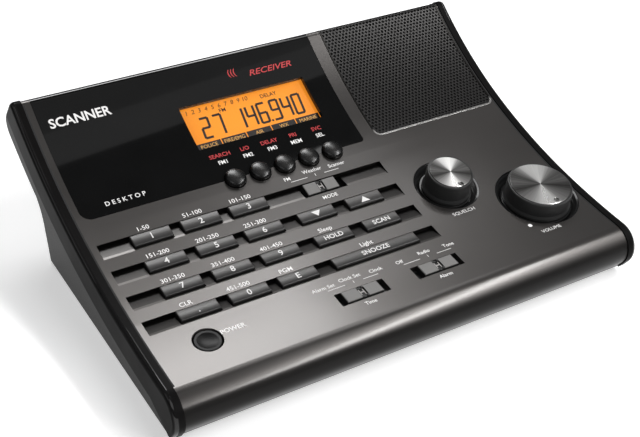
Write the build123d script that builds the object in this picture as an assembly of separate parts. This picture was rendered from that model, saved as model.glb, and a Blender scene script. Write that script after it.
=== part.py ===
"""Desktop police scanner: a curved control deck between two end cheeks, on an inset base.

Units are millimetres. X runs along the width, Y from front to back and Z up. The origin is
at the centre of the footprint, on the table. Places on the deck are given as (x, s): s is
the distance along the deck's curve from the front, and lift is the height above its surface.
"""
from build123d import *
from math import cos, radians, sin, sqrt
import os

# ---- overall form ----
WIDTH = 232.0                 # over both cheeks
DEPTH = 170.8                 # nose to rear end of the slab
NOSE_REACH = 6.555            # nose of the cheeks ahead of the point where s is 0
DECK_START_Z = 23.2           # deck height where s is 0
DECK_START_SLOPE = 0.28       # degrees
ARC_RADII = (390.0, 275.0, 203.0)
ARC_LENGTHS = (40.0, 60.0, 90.0)
SLAB_END = 163.0              # s of the rear end
SLAB_DEEP = 21.5              # deck to the underside of the rear overhang
BAND_DEEP = 12.4              # height of the cover and cheek band
END_RADIUS = 3.0              # round of the rear top edge
NOSE_S = 3.8
NOSE_RADIUS = 10.0
CHIN_ANGLE = 32.0             # lean of the chin below the nose
SEAM_Z = 4.0                  # cover meets base
LIP_S = 14.0

# ---- walls and clearances ----
COVER_WALL = 2.4
FIELD_WALL = 3.6              # under the keys and the lens
CHEEK_WIDE = 4.8
CHEEK_PROUD = 0.5
CHEEK_EDGE = 2.0
BASE_WALL = 2.2
BASE_Z = 1.0
BASE_INSET_LOW = 1.8           # base inside the cheeks at its bottom
BASE_INSET_HIGH = 0.4
SEAT_GAP = 0.1                # between pieces that are seated in each other
MOVE_GAP = 0.35               # beside a piece that moves
BORE_GAP = 0.05               # running fit of a shaft
FLANGE_THICK = 0.8
FLANGE_LIP = 1.1

# ---- keys ----
KEY_WIDE = 18.0
KEY_DEEP = 5.9
KEY_LIFT = 1.0
KEY_TRAVEL = 0.9
GROOVE_X = (-107.4, 33.4)
GROOVE_DEEP = 2.0
GROOVE_LONG = 8.0
ROW_REAR = 84.8               # rear edge of the first groove
ROW_PITCH = 14.7
KEY_BACK = 0.8                # rear edge of a key to the rear edge of its groove
NUMBER_X = -84.0
NUMBER_PITCH = 23.15
COMMAND_X = -11.3
COMMAND_PITCH = 24.8
SNOOZE_WIDE = COMMAND_PITCH + KEY_WIDE

# ---- round buttons ----
FUNCTION_X = -35.8
FUNCTION_PITCH = 12.65
FUNCTION_S = 97.5
FUNCTION_R = 4.8
FUNCTION_LIFT = 2.3
POWER_X = -87.9
POWER_S = 21.15
POWER_DISH_R = 6.9
POWER_R = 5.8

# ---- slide switches: window centre, window width and the tab's offset in it ----
WINDOW_DEEP = 7.6
TAB_DEEP = 6.2
TAB_LIFT = 0.9
SLIDERS = {
    "mode": (0.3, 80.6, 22.4, 16.2, -1.3),
    "time": (-17.9, 17.5, 23.9, 17.6, -0.3),
    "alarm": (20.3, 17.5, 24.0, 17.4, 0.2),
}

# ---- display ----
LENS_X = (-107.4, 33.2)
LENS_FRONT = 98.2
LENS_THICK = 2.0
LENS_THINNED = 0.8             # off its thickness where it runs over the rear bend
WINDOW_X = -11.75
WINDOW_S = 128.9
WINDOW_W = 65.1
WINDOW_H = 23.2
LCD_BORDER = 2.0
LCD_THICK = 2.2
BACKLIGHT_THICK = 3.0

# ---- speaker ----
GRILLE_X = (40.2, 110.4)
GRILLE_FRONT = 98.5
GRILLE_THICK = 0.9
TRIM_LOW = 4.2                 # lower end of the lens and the grille on the end face
SPEAKER_S = 126.5
SPEAKER_R = 27.0
SPEAKER_FLANGE = 3.5
SPEAKER_DEEP = 11.0
MAGNET_R = 14.0
MAGNET_THICK = 4.2

# ---- knobs: x, s, well radius, knob radius, height of the top ----
KNOBS = {
    "squelch": (55.2, 60.0, 15.5, 10.8, 8.5),
    "volume": (91.1, 37.0, 19.6, 15.2, 7.2),
}
WELL_DEEP = 2.2
WELL_FLOOR = 4.6
DISC_RIM = 0.8
DISC_THICK = 1.2
SHAFT_R = 3.0
POT_WIDE = 17.0
POT_THICK = 6.5

# ---- boards ----
BOARD_THICK = 1.6
BOARD_DROP = 13.2             # deck to control board at the board's ends
BOARD_S = (11.0, 104.0)
BOARD_X = (-98.5, 35.0)
BOARD_ROOM = 1.5               # least height between the two boards
BOARD_POST_FRONT = 18.5       # front posts from the board's front edge
SWITCH_WIDE = 6.0
SWITCH_BODY = 2.5
PLUNGER_R = 1.6
PLUNGER_HIGH = 0.6
MAIN_Z = 5.2
MAIN_Y = (-68.0, 36.0)
SHIELD_Y = 8.0
SHIELD_DEEP = 32.0
SHIELD_ROOM = 0.5              # least height above the shield

# ---- rear wall, connectors, battery ----
WALL_FOOT_Y = 44.3            # rear wall at the table side
WALL_TOP_Y = 48.2
WALL_TOP_Z = 19.0
JACK_Z = 11.5
ANTENNA_X = -62.0
POWER_JACK_X = -10.0
EARPHONE_X = 18.0
BNC_R = 4.8
BNC_BORE_R = 4.05
BNC_BORE_DEEP = 5.0
BNC_LONG = 11.0                # out of the wall
EARPHONE_R = 1.8
EARPHONE_DEEP = 14.0
BATTERY = (48.5, 26.5, 17.0)
BATTERY_X = 64.0
BATTERY_Y = 17.0

# ---- feet and screws ----
FOOT_R = 6.0
FOOT_THICK = 1.5
FOOT_INSET = 18.0              # from the side of the case
FOOT_Y = (-56.0, 34.0)
SCREW_INSET = 12.0
SCREW_Y = (-69.0, 18.0)
SCREW_R = 1.5
SCREW_HEAD_R = 2.8
BOSS_R = 4.0

Y_FRONT = -DEPTH / 2 + NOSE_REACH
BEND_S = SLAB_END - END_RADIUS   # start of the rear bend


# ======== geometry of the deck ========

def deck_state(s):
    """Point (y, z) and slope in radians at distance s along the deck."""
    y, z, slope = Y_FRONT, DECK_START_Z, radians(DECK_START_SLOPE)
    for radius, length in zip(ARC_RADII, ARC_LENGTHS):
        step = s if radius == ARC_RADII[-1] else min(s, length)
        turned = slope + step / radius
        y += radius * (sin(turned) - sin(slope))
        z += radius * (cos(slope) - cos(turned))
        slope = turned
        s -= step
        if s <= 0:
            break
    return y, z, slope


def deck_point(s, lift=0.0, x=0.0):
    y, z, slope = deck_state(s)
    return Vector(x, y - lift * sin(slope), z + lift * cos(slope))


def deck_plane(x, s):
    """Plane on the deck: x along the width, y up the slope, z out of the deck."""
    slope = deck_state(s)[2]
    return Plane(origin=deck_point(s, 0, x), x_dir=(1, 0, 0), z_dir=(0, -sin(slope), cos(slope)))


def on_deck(x, s, shape):
    return deck_plane(x, s).location * shape


def deck_edges(s0, s1, lift):
    joints = [ARC_LENGTHS[0], ARC_LENGTHS[0] + ARC_LENGTHS[1]]
    stops = [s0] + [j for j in joints if s0 < j < s1] + [s1]
    return [
        ThreePointArc(deck_point(a, lift), deck_point((a + b) / 2, lift), deck_point(b, lift))
        for a, b in zip(stops, stops[1:])
    ]


def prism(edges, x0, x1):
    """Solid between two X planes from an outline drawn at x = 0."""
    face = Face(Wire(edges))
    return Pos(x0, 0, 0) * Solid.extrude(face, Vector(x1 - x0, 0, 0))


def slab(x_range, s_range, top, bottom):
    """Curved slab that follows the deck between two lifts."""
    (x0, x1), (s0, s1) = x_range, s_range
    edges = deck_edges(s0, s1, top) + deck_edges(s0, s1, bottom)
    edges.append(Line(deck_point(s0, top), deck_point(s0, bottom)))
    edges.append(Line(deck_point(s1, top), deck_point(s1, bottom)))
    return prism(edges, x0, x1)


def round_corner(shape, x, s, lift, radius):
    """Round the upright edge of a slab at one corner of its plan."""
    edge = shape.edges().sort_by_distance(deck_point(s, lift, x))[0]
    return fillet(edge, radius)


def grown(span, gap):
    return (span[0] - gap, span[1] + gap)


def block(wide, deep, bottom, top):
    """Box centred in x and y between two heights."""
    return Pos(0, 0, bottom) * Box(wide, deep, top - bottom, align=(Align.CENTER, Align.CENTER, Align.MIN))


def disc(radius, bottom, top):
    flat = (Align.CENTER, Align.CENTER, Align.MIN)
    return Pos(0, 0, bottom) * Cylinder(radius, top - bottom, align=flat)


def top_rounded(shape, radius):
    """Round the edges of the highest face of a shape that stands upright."""
    return fillet(shape.faces().sort_by(Axis.Z)[-1].edges(), radius)


# ======== case outlines ========

def lean(distance):
    """Step along the chin, down and to the back."""
    return Vector(0, distance * sin(radians(CHIN_ANGLE)), -distance * cos(radians(CHIN_ANGLE)))


def nose_edges(grow, chin_z):
    """Deck start, nose and chin down to a height, and the chin's end point."""
    centre = deck_point(NOSE_S, -NOSE_RADIUS)
    radius = NOSE_RADIUS + grow
    low = radians(180 + CHIN_ANGLE)
    high = radians(90) + deck_state(NOSE_S)[2]
    middle = (low + high) / 2
    chin = centre + Vector(0, radius * cos(low), radius * sin(low))
    front = centre + Vector(0, radius * cos(middle), radius * sin(middle))
    end = chin + lean((chin.Z - chin_z) / cos(radians(CHIN_ANGLE)))
    arc = ThreePointArc(deck_point(NOSE_S, grow), front, chin)
    return [arc, Line(chin, end)], end


def bend_edges(grow, low):
    """Rear top bend, and the end face below it down to a depth."""
    end_s = SLAB_END + grow
    corner = deck_point(BEND_S, -END_RADIUS)
    slope = deck_state(BEND_S)[2]
    reach = (END_RADIUS + grow) / sqrt(2)
    crown = corner + Vector(0, reach * (cos(slope) - sin(slope)), reach * (sin(slope) + cos(slope)))
    arc = ThreePointArc(deck_point(BEND_S, grow), crown, deck_point(end_s, -END_RADIUS))
    return [arc, Line(deck_point(end_s, -END_RADIUS), deck_point(end_s, -low))]


def band_outline(grow):
    """Side outline of the band that the cover and the cheeks share."""
    nose, chin_end = nose_edges(grow, SEAM_Z)
    edges = nose + deck_edges(NOSE_S, BEND_S, grow) + bend_edges(grow, BAND_DEEP)
    edges += deck_edges(LIP_S, SLAB_END + grow, -BAND_DEEP)
    edges.append(Line(deck_point(LIP_S, -BAND_DEEP), chin_end))
    return edges


def band_inside(wall):
    """Side outline of the room inside the band, open at its underside."""
    nose, chin_end = nose_edges(-wall, SEAM_Z - 2)
    end_s = SLAB_END - wall
    deep = -BAND_DEEP - 3
    edges = nose + deck_edges(NOSE_S, end_s, -wall)
    edges.append(Line(deck_point(end_s, -wall), deck_point(end_s, deep)))
    edges += deck_edges(LIP_S, end_s, deep)
    edges.append(Line(deck_point(LIP_S, deep), chin_end))
    return edges


def base_outline(inset):
    """Side outline of the base: lip, underside of the overhang, rear wall and bottom."""
    bottom = BASE_Z + inset
    chin_y = nose_edges(0, SEAM_Z)[1].Y + 1.0
    foot = Vector(0, chin_y + 2.6 + inset, bottom)
    wall_slope = (WALL_TOP_Y - WALL_FOOT_Y) / (WALL_TOP_Z - BASE_Z)
    heel = Vector(0, WALL_FOOT_Y - inset + wall_slope * inset, bottom)
    shoulder = Vector(0, WALL_TOP_Y - inset, WALL_TOP_Z)
    under_s = 128.0 - inset
    end_s = SLAB_END - inset
    turn = 6.0
    under = deck_point(under_s, inset - SLAB_DEEP)
    bend = (shoulder + under) / 2 + Vector(0, -0.9, 0.6)
    tail = deck_point(end_s - turn, inset - SLAB_DEEP)
    rise = deck_point(end_s, turn + inset - SLAB_DEEP)
    crown = deck_point(end_s - 0.3 * turn, 0.3 * turn + inset - SLAB_DEEP)
    top = -BAND_DEEP if inset == 0 else 5 - BAND_DEEP
    lip = Vector(0, chin_y, SEAM_Z) if inset == 0 else Vector(0, foot.Y - 1.6, SEAM_Z + 1)
    edges = [Line(lip, foot), Line(foot, heel), Line(heel, shoulder)]
    edges.append(ThreePointArc(shoulder, bend, under))
    edges += deck_edges(under_s, end_s - turn, inset - SLAB_DEEP)
    edges.append(ThreePointArc(tail, crown, rise))
    edges.append(Line(rise, deck_point(end_s, top)))
    edges += deck_edges(LIP_S, end_s, top)
    edges.append(Line(deck_point(LIP_S, top), lip))
    return edges


def side_limits(inset):
    """Block whose leaning sides trim the base."""
    low, high, height = WIDTH / 2 - BASE_INSET_LOW - inset, WIDTH / 2 - BASE_INSET_HIGH - inset, 70.0
    corners = [(-low, 0, 0), (low, 0, 0), (high, 0, height), (-high, 0, height)]
    outline = [Line(a, b) for a, b in zip(corners, corners[1:] + corners[:1])]
    return Pos(0, -DEPTH, 0) * Solid.extrude(Face(Wire(outline)), Vector(0, 2 * DEPTH, 0))


# ======== places ========

def row_s(row):
    """Centre of a key row, row 0 at the rear."""
    return ROW_REAR - row * ROW_PITCH - KEY_BACK - KEY_DEEP / 2


def key_places():
    """Node name to x, s and width of every key."""
    places = {}
    names = (("1", "2", "3"), ("4", "5", "6"), ("7", "8", "9"), ("point", "0", "enter"))
    for row, labels in enumerate(names):
        for column, label in enumerate(labels):
            places["key_" + label] = (NUMBER_X + column * NUMBER_PITCH, row_s(row), KEY_WIDE)
    for row, labels in ((1, ("down", "up")), (2, ("hold", "scan"))):
        for column, label in enumerate(labels):
            places["key_" + label] = (COMMAND_X + column * COMMAND_PITCH, row_s(row), KEY_WIDE)
    places["key_snooze"] = (COMMAND_X + COMMAND_PITCH / 2, row_s(3), SNOOZE_WIDE)
    return places


def function_places():
    return [(FUNCTION_X + i * FUNCTION_PITCH, FUNCTION_S) for i in range(5)]


def board_plane():
    """Top face of the control board, a chord below the curved deck."""
    front = deck_point(BOARD_S[0], -BOARD_DROP)
    rear = deck_point(BOARD_S[1], -BOARD_DROP)
    along = (rear - front).normalized()
    return Plane(origin=(front + rear) / 2, x_dir=(1, 0, 0), z_dir=(0, -along.Z, along.Y))


def board_drop(x, s):
    """Distance from the deck down its own normal to the control board, and the point there."""
    deck, board = deck_plane(x, s), board_plane()
    drop = (deck.origin - board.origin).dot(board.z_dir) / deck.z_dir.dot(board.z_dir)
    return drop, deck.origin - deck.z_dir * drop


def on_board(point, shape):
    board = board_plane()
    return Plane(origin=point, x_dir=board.x_dir, z_dir=board.z_dir).location * shape


def rear_plane(x):
    """Plane on the leaning rear wall: z points out of the wall."""
    rise = WALL_TOP_Z - BASE_Z
    run = WALL_TOP_Y - WALL_FOOT_Y
    y = WALL_FOOT_Y + run * (JACK_Z - BASE_Z) / rise
    return Plane(origin=(x, y, JACK_Z), x_dir=(-1, 0, 0), z_dir=(0, rise, -run))


def on_rear(x, shape):
    return rear_plane(x).location * shape


def boss_top(y):
    """Height at which a screw boss of the base meets its post in the cover."""
    return 12.0 if y < 0 else 25.0


def head_seat(y):
    return boss_top(y) - 6.0


def deck_height(y):
    low, high = 0.0, SLAB_END
    while high - low > 0.001:
        middle = (low + high) / 2
        if deck_state(middle)[0] < y:
            low = middle
        else:
            high = middle
    return deck_state(low)[1]


def screw_places():
    x = WIDTH / 2 - SCREW_INSET
    return [(side * x, y) for side in (-1, 1) for y in SCREW_Y]


# ======== case ========

def bend_strip(x_range, gap, top, bottom):
    """Strip over the rear bend that carries a plate on to the end face."""
    low = TRIM_LOW + gap
    edges = bend_edges(top, low) + bend_edges(bottom, low)
    edges.append(Line(deck_point(BEND_S, top), deck_point(BEND_S, bottom)))
    edges.append(Line(deck_point(SLAB_END + top, -low), deck_point(SLAB_END + bottom, -low)))
    return prism(edges, *x_range)


def lens_plate(gap, top, bottom):
    """Plate with the lens's plan, wider by a gap."""
    x, s = grown(LENS_X, gap), (LENS_FRONT - gap, BEND_S)
    plate = slab(x, s, top, bottom)
    plate = round_corner(plate, x[0], s[0], (top + bottom) / 2, 5.0 + gap)
    plate = round_corner(plate, x[1], s[0], (top + bottom) / 2, 2.0 + gap)
    return plate + bend_strip(x, gap, top, bottom + LENS_THINNED)


def grille_plate(gap, top, bottom):
    x, s = grown(GRILLE_X, gap), (GRILLE_FRONT - gap, BEND_S)
    plate = slab(x, s, top, bottom)
    for corner_x in x:
        plate = round_corner(plate, corner_x, s[0], (top + bottom) / 2, 3.5 + gap)
    return plate + bend_strip(x, gap, top, bottom)


def groove(row):
    """Wedge that is deep at its sharp rear edge and runs out flush at the front."""
    rear = GROOVE_LONG / 2
    corners = [(-rear, 0), (rear, -GROOVE_DEEP), (rear, 3), (-rear, 3)]
    outline = [Line((0, *a), (0, *b)) for a, b in zip(corners, corners[1:] + corners[:1])]
    wide = GROOVE_X[1] - GROOVE_X[0]
    wedge = Pos(-wide / 2, 0, 0) * Solid.extrude(Face(Wire(outline)), Vector(wide, 0, 0))
    middle_s = ROW_REAR - row * ROW_PITCH - GROOVE_LONG / 2
    return on_deck(sum(GROOVE_X) / 2, middle_s, wedge)


def slider_window(name, gap):
    x, s, wide, _, _ = SLIDERS[name]
    return on_deck(x, s, block(wide + 2 * gap, WINDOW_DEEP + 2 * gap, -9, 3))


def top_cover():
    half = WIDTH / 2 - CHEEK_WIDE
    cover = prism(band_outline(0), -half, half) - prism(band_inside(COVER_WALL), -WIDTH, WIDTH)
    cover += slab((GROOVE_X[0] - 2, GROOVE_X[1] + 2), (30.0, 95.0), -1.5, -FIELD_WALL)
    cover += slab((LENS_X[0] - 2, LENS_X[1] + 2), (94.0, BEND_S), -1.5, -FIELD_WALL)
    for x, y in screw_places():
        top = deck_height(y) - 2.0
        cover += Pos(x, y, 0) * (disc(BOSS_R, boss_top(y), top) - disc(SCREW_R + BORE_GAP, 0, boss_top(y) + 9))
    cover += board_posts()
    for row in range(4):
        cover -= groove(row)
    for x, s, wide in key_places().values():
        cover -= on_deck(x, s, block(wide + 2 * MOVE_GAP, KEY_DEEP + 2 * MOVE_GAP, -9, 3))
    cover -= lens_plate(SEAT_GAP, 2.0, -LENS_THICK)
    lcd_wide, lcd_high = WINDOW_W + 2 * LCD_BORDER + 1, WINDOW_H + 2 * LCD_BORDER + 1
    cover -= on_deck(WINDOW_X, WINDOW_S, block(lcd_wide, lcd_high, -9, 3))
    cover -= grille_plate(SEAT_GAP, 2.0, -GRILLE_THICK)
    cover -= on_deck(sum(GRILLE_X) / 2, SPEAKER_S, disc(SPEAKER_R + 0.5, -9, 5))
    for x, s in function_places():
        cover -= on_deck(x, s, disc(FUNCTION_R + MOVE_GAP, -9, 4))
    for name in SLIDERS:
        cover -= slider_window(name, 0)
    for x, s, well_r, _, _ in KNOBS.values():
        cover -= on_deck(x, s, disc(well_r + SEAT_GAP, -9, 4))
    dish = Pos(0, 0, 0.15) * Cone(POWER_R + MOVE_GAP, POWER_DISH_R, 1.6)
    cover -= on_deck(POWER_X, POWER_S, dish + disc(POWER_DISH_R, 0.9, 3))
    cover -= on_deck(POWER_X, POWER_S, disc(POWER_R + MOVE_GAP, -9, 3))
    return cover


def board_posts():
    """Posts under the cover that carry the control board."""
    board = board_plane()
    half = board_deep() / 2
    posts = []
    for x in (BOARD_X[0] + 4, BOARD_X[1] - 5):
        for y in (BOARD_POST_FRONT - half, half - 4):
            posts.append(board.location * (Pos(x, y, 0) * disc(2.2, 0, 30)))
    room = slab((-WIDTH / 2, WIDTH / 2), (2.0, 150.0), -1.5, -60)
    return [post & room for post in posts]


def cheek():
    """Left end cap: a hollow plate with the band's outline and a rounded outer edge."""
    plate = prism(band_outline(CHEEK_PROUD), -CHEEK_WIDE, 0)
    rim = plate.faces().sort_by(Axis.X)[0].edges()
    lowest = deck_edges(LIP_S, SLAB_END + CHEEK_PROUD, -BAND_DEEP)
    low_middles = [edge @ 0.5 for edge in lowest]
    low_middles.append((deck_point(LIP_S, -BAND_DEEP) + nose_edges(CHEEK_PROUD, SEAM_Z)[1]) / 2)
    moved = [point + Vector(-CHEEK_WIDE, 0, 0) for point in low_middles]
    upper = [e for e in rim if min((e @ 0.5 - point).length for point in moved) > 0.5]
    plate = fillet(upper, CHEEK_EDGE)
    plate -= prism(band_inside(COVER_WALL), -CHEEK_WIDE + COVER_WALL, 1)
    return Pos(-WIDTH / 2 + CHEEK_WIDE, 0, 0) * plate


def base_shell():
    outer = prism(base_outline(0), -WIDTH, WIDTH) & side_limits(0)
    inner = prism(base_outline(BASE_WALL), -WIDTH, WIDTH) & side_limits(BASE_WALL)
    shell = outer - inner
    floor = BASE_Z + BASE_WALL
    for x, y in screw_places():
        shell += Pos(x, y, 0) * disc(BOSS_R, floor - 0.5, boss_top(y))
    for x, y in main_posts():
        shell += Pos(x, y, 0) * disc(3.0, floor - 0.5, MAIN_Z)
    long, deep, high = BATTERY
    shell += Pos(BATTERY_X, BATTERY_Y, 0) * block(long + 5, deep + 5, floor - 0.5, floor + high - 3)
    shell -= Pos(BATTERY_X, BATTERY_Y, 0) * block(long + 1, deep + 1, 0, floor + high + 9)
    shell -= Pos(BATTERY_X, BATTERY_Y, 0) * block(long + 3, deep + 3, 0, BASE_Z + BASE_WALL - 0.8)
    for x, y in screw_places():
        head = disc(SCREW_HEAD_R + SEAT_GAP, 0, head_seat(y))
        shell -= Pos(x, y, 0) * (head + disc(SCREW_R + BORE_GAP, 0, 40))
    for x, y in foot_places():
        shell -= Pos(x, y, 0) * disc(FOOT_R + SEAT_GAP, 0, FOOT_THICK)
    shell -= on_rear(ANTENNA_X, disc(BNC_R + SEAT_GAP, -9, 3))
    shell -= on_rear(POWER_JACK_X, disc(4.0 + SEAT_GAP, -9, 3))
    shell -= on_rear(EARPHONE_X, disc(3.5 + SEAT_GAP, -9, 3))
    return shell


def foot_places():
    x = WIDTH / 2 - FOOT_INSET
    return [(side * x, y) for side in (-1, 1) for y in FOOT_Y]


def rubber_feet():
    foot = fillet(disc(FOOT_R, 0, FOOT_THICK).edges().sort_by(Axis.Z)[0], 0.4)
    return [Pos(x, y, 0) * foot for x, y in foot_places()]


def case_screws():
    screws = []
    for x, y in screw_places():
        seat = head_seat(y)
        screw = disc(SCREW_HEAD_R, seat - 2, seat) + disc(SCREW_R, seat - 0.5, seat + 13)
        slot = block(0.8, 4.0, seat - 3, seat - 1)
        screws.append(Pos(x, y, 0) * (screw - slot - Rot(0, 0, 90) * slot))
    return screws


def battery_cover():
    long, deep, _ = BATTERY
    top = BASE_Z + BASE_WALL - 0.8
    plate = block(long + 3 - 2 * SEAT_GAP, deep + 3 - 2 * SEAT_GAP, BASE_Z, top)
    for i in range(-2, 3):
        plate -= Pos(i * 3.0 - 14, 0, 0) * block(1.0, 10.0, 0, BASE_Z + 0.5)
    return Pos(BATTERY_X, BATTERY_Y, 0) * plate


def backup_battery():
    long, deep, high = BATTERY
    bottom = BASE_Z + BASE_WALL - 0.8 + SEAT_GAP
    cell = fillet(block(long - 3, deep, bottom, bottom + high).edges().filter_by(Axis.X), 1.5)
    for side, radius in ((-1, 2.9), (1, 3.6)):
        stud = Cylinder(radius, 3.0, rotation=(0, 90, 0))
        cell += Pos(long / 2 - 1.6, side * 6.3, bottom + high / 2) * stud
    return Pos(BATTERY_X, BATTERY_Y, 0) * cell


# ======== display ========

def display_lens():
    lens = lens_plate(0, 0.0, -LENS_THICK + 0.05)
    lens -= on_deck(WINDOW_X, WINDOW_S, block(WINDOW_W, WINDOW_H, -9, 3))
    for x, s in function_places():
        lens -= on_deck(x, s, disc(FUNCTION_R + MOVE_GAP, -9, 4))
    return lens


def lcd_window():
    """Clear pane in the lens's opening."""
    x = (WINDOW_X - WINDOW_W / 2 + 0.05, WINDOW_X + WINDOW_W / 2 - 0.05)
    long = slab(x, grown((LENS_FRONT, BEND_S), -8), 0.0, -LENS_THICK + 0.05)
    return long & on_deck(WINDOW_X, WINDOW_S, block(WINDOW_W - 0.1, WINDOW_H - 0.1, -9, 3))


def lcd_panel():
    top = -LENS_THICK - SEAT_GAP
    wide, high = WINDOW_W + 2 * LCD_BORDER, WINDOW_H + 2 * LCD_BORDER
    return on_deck(WINDOW_X, WINDOW_S, block(wide, high, top - LCD_THICK, top))


def lcd_backlight():
    top = -LENS_THICK - SEAT_GAP - LCD_THICK - 0.05
    box = block(WINDOW_W, WINDOW_H + 2, top - BACKLIGHT_THICK, top)
    return on_deck(WINDOW_X, WINDOW_S, box)


# ======== speaker ========

def on_speaker(shape):
    return on_deck(sum(GRILLE_X) / 2, SPEAKER_S, shape)


def turned(points):
    """Solid of revolution about z from (radius, height) corners."""
    corners = [(r, 0, h) for r, h in points]
    outline = [Line(a, b) for a, b in zip(corners, corners[1:] + corners[:1])]
    return revolve(Face(Wire(outline)), Axis.Z)


def speaker_frame():
    top = -COVER_WALL - SEAT_GAP
    outer = SPEAKER_R + SPEAKER_FLANGE
    deep = top - SPEAKER_DEEP
    basket = turned([
        (SPEAKER_R, top), (outer, top), (outer, top - 1.4), (SPEAKER_R + 0.4, top - 1.4),
        (MAGNET_R + 1, deep), (4.0, deep), (4.0, deep + 1.2), (MAGNET_R, deep + 1.2), (SPEAKER_R, top - 1),
    ])
    slot = Pos(MAGNET_R + 8, 0, deep + 6) * Box(9, 10, 12)
    for i in range(4):
        basket -= Rot(0, 0, 45 + 90 * i) * slot
    return on_speaker(basket)


def speaker_cone():
    top = -COVER_WALL - SEAT_GAP - 1.0
    rim = SPEAKER_R - 2.0
    cone = turned([
        (rim, top), (rim, top - 0.8), (rim - 3, top - 0.5), (8.0, top - 6.5), (3.4, top - 6.5),
        (3.4, top - 5.7), (8.0, top - 5.7), (rim - 3, top + 0.3), (rim - 1.5, top + 0.9),
    ])
    return on_speaker(cone + disc(7.6, top - 6.0, top - 4.2) - disc(6.8, top - 5.7, top - 4.9))


def speaker_magnet():
    top = -COVER_WALL - SEAT_GAP - SPEAKER_DEEP - 0.02
    magnet = disc(MAGNET_R, top - MAGNET_THICK, top)
    return on_speaker(fillet(magnet.edges().sort_by(Axis.Z)[0], 0.8))


# ======== knobs ========

def knob_well(name):
    """Dished ring in the deck with a hole for the shaft."""
    _, _, well_r, knob_r, _ = KNOBS[name]
    foot = knob_r + 1.4
    well = turned([
        (SHAFT_R + 0.3, -WELL_DEEP), (foot, -WELL_DEEP), (well_r - 0.9, -0.35), (well_r, -0.2),
        (well_r, -WELL_FLOOR), (SHAFT_R + 0.3, -WELL_FLOOR),
    ])
    return well


def knob_body(name):
    """Grip with a flared foot and a seat for its metal disc."""
    _, _, _, radius, top = KNOBS[name]
    bottom = -WELL_DEEP + 0.4
    seat = top - DISC_THICK
    body = turned([
        (0, bottom + 1.2), (SHAFT_R + 2.5, bottom + 1.2), (SHAFT_R + 2.5, bottom), (radius + 0.6, bottom),
        (radius + 0.6, bottom + 0.9), (radius + 0.1, bottom + 2.2), (radius, top - 0.7),
        (radius - 0.3, top - 0.1), (radius - DISC_RIM, top), (radius - DISC_RIM, seat), (0, seat),
    ])
    return body - disc(SHAFT_R + BORE_GAP, bottom - 1, top - 3.2)


def knob_disc(name):
    """Spun metal disc with a pointer dimple towards the front."""
    _, _, _, radius, top = KNOBS[name]
    edge = radius - DISC_RIM - SEAT_GAP
    plate = disc(edge, top - DISC_THICK + 0.02, top + 0.3)
    plate = fillet(plate.edges().sort_by(Axis.Z)[-1], 0.35)
    return plate - Pos(0, -0.78 * radius, top + 1.6) * Sphere(1.9)


def knob_shaft(name):
    top = KNOBS[name][4]
    return disc(SHAFT_R, -WELL_FLOOR - POT_THICK + 1.5, top - 3.4)


def knob_pot(name):
    top = -WELL_FLOOR - SEAT_GAP
    pot = block(POT_WIDE, POT_WIDE, top - POT_THICK, top - 1.5) + disc(4.6, top - 2, top)
    for i in (-1, 0, 1):
        pot += Pos(i * 5.0, -POT_WIDE / 2 - 1.5, 0) * block(1.2, 4.0, top - POT_THICK, top - POT_THICK + 0.6)
    return pot - disc(SHAFT_R + BORE_GAP, top - POT_THICK + 1.3, 1)


def on_knob(name, shape):
    x, s = KNOBS[name][:2]
    return on_deck(x, s, shape)


# ======== keys and buttons ========

def stem_end(x, s):
    """Lift of the lower end of a key's stem, clear of its switch by the travel."""
    drop = board_drop(x, s)[0]
    return -(drop - SWITCH_BODY - PLUNGER_HIGH - KEY_TRAVEL - 0.3)


def key(place):
    x, s, wide = place
    cap = top_rounded(block(wide, KEY_DEEP, -FIELD_WALL - MOVE_GAP - 0.1, KEY_LIFT), 0.5)
    under = -FIELD_WALL - MOVE_GAP
    lip = min(FLANGE_LIP, (NUMBER_PITCH - KEY_WIDE - MOVE_GAP) / 2)
    flange = block(wide + 2 * lip, KEY_DEEP + 2 * FLANGE_LIP, under - FLANGE_THICK, under)
    return on_deck(x, s, cap + flange + block(3.0, 3.0, stem_end(x, s), under))


def function_button(place):
    x, s = place
    under = -FIELD_WALL - MOVE_GAP
    cap = fillet(disc(FUNCTION_R, under - 0.1, FUNCTION_LIFT).edges().sort_by(Axis.Z)[-1], 1.0)
    cap += disc(FUNCTION_R + 0.9, under - FLANGE_THICK, under)
    return on_deck(x, s, cap + disc(1.6, stem_end(x, s), under))


def power_button():
    under = -COVER_WALL - MOVE_GAP
    cap = disc(POWER_R, under - 0.1, -0.3)
    cap = fillet(cap.edges().sort_by(Axis.Z)[-1], 0.4)
    cap -= Pos(0, 0, 19.2) * Sphere(20.0)
    cap += disc(POWER_R + FLANGE_LIP, under - FLANGE_THICK, under)
    return on_deck(POWER_X, POWER_S, cap + disc(1.6, stem_end(POWER_X, POWER_S), under))


def push_places():
    """x and s of everything that presses a switch."""
    keys = [(x, s) for x, s, _ in key_places().values()]
    return keys + function_places() + [(POWER_X, POWER_S)]


def tact_switches():
    body = block(SWITCH_WIDE, SWITCH_WIDE, 0.02, SWITCH_BODY)
    switch = body + disc(PLUNGER_R, SWITCH_BODY - 0.1, SWITCH_BODY + PLUNGER_HIGH)
    return [on_board(board_drop(x, s)[1], switch) for x, s in push_places()]


# ======== slide switches ========

def wall_at(name):
    return FIELD_WALL if SLIDERS[name][1] > 30 else COVER_WALL


def slider_travel(name):
    """Travel to the left and right from where the tab stands."""
    _, _, window, tab, offset = SLIDERS[name]
    free = (window - tab) / 2 - MOVE_GAP
    return -free - offset, free - offset


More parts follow.
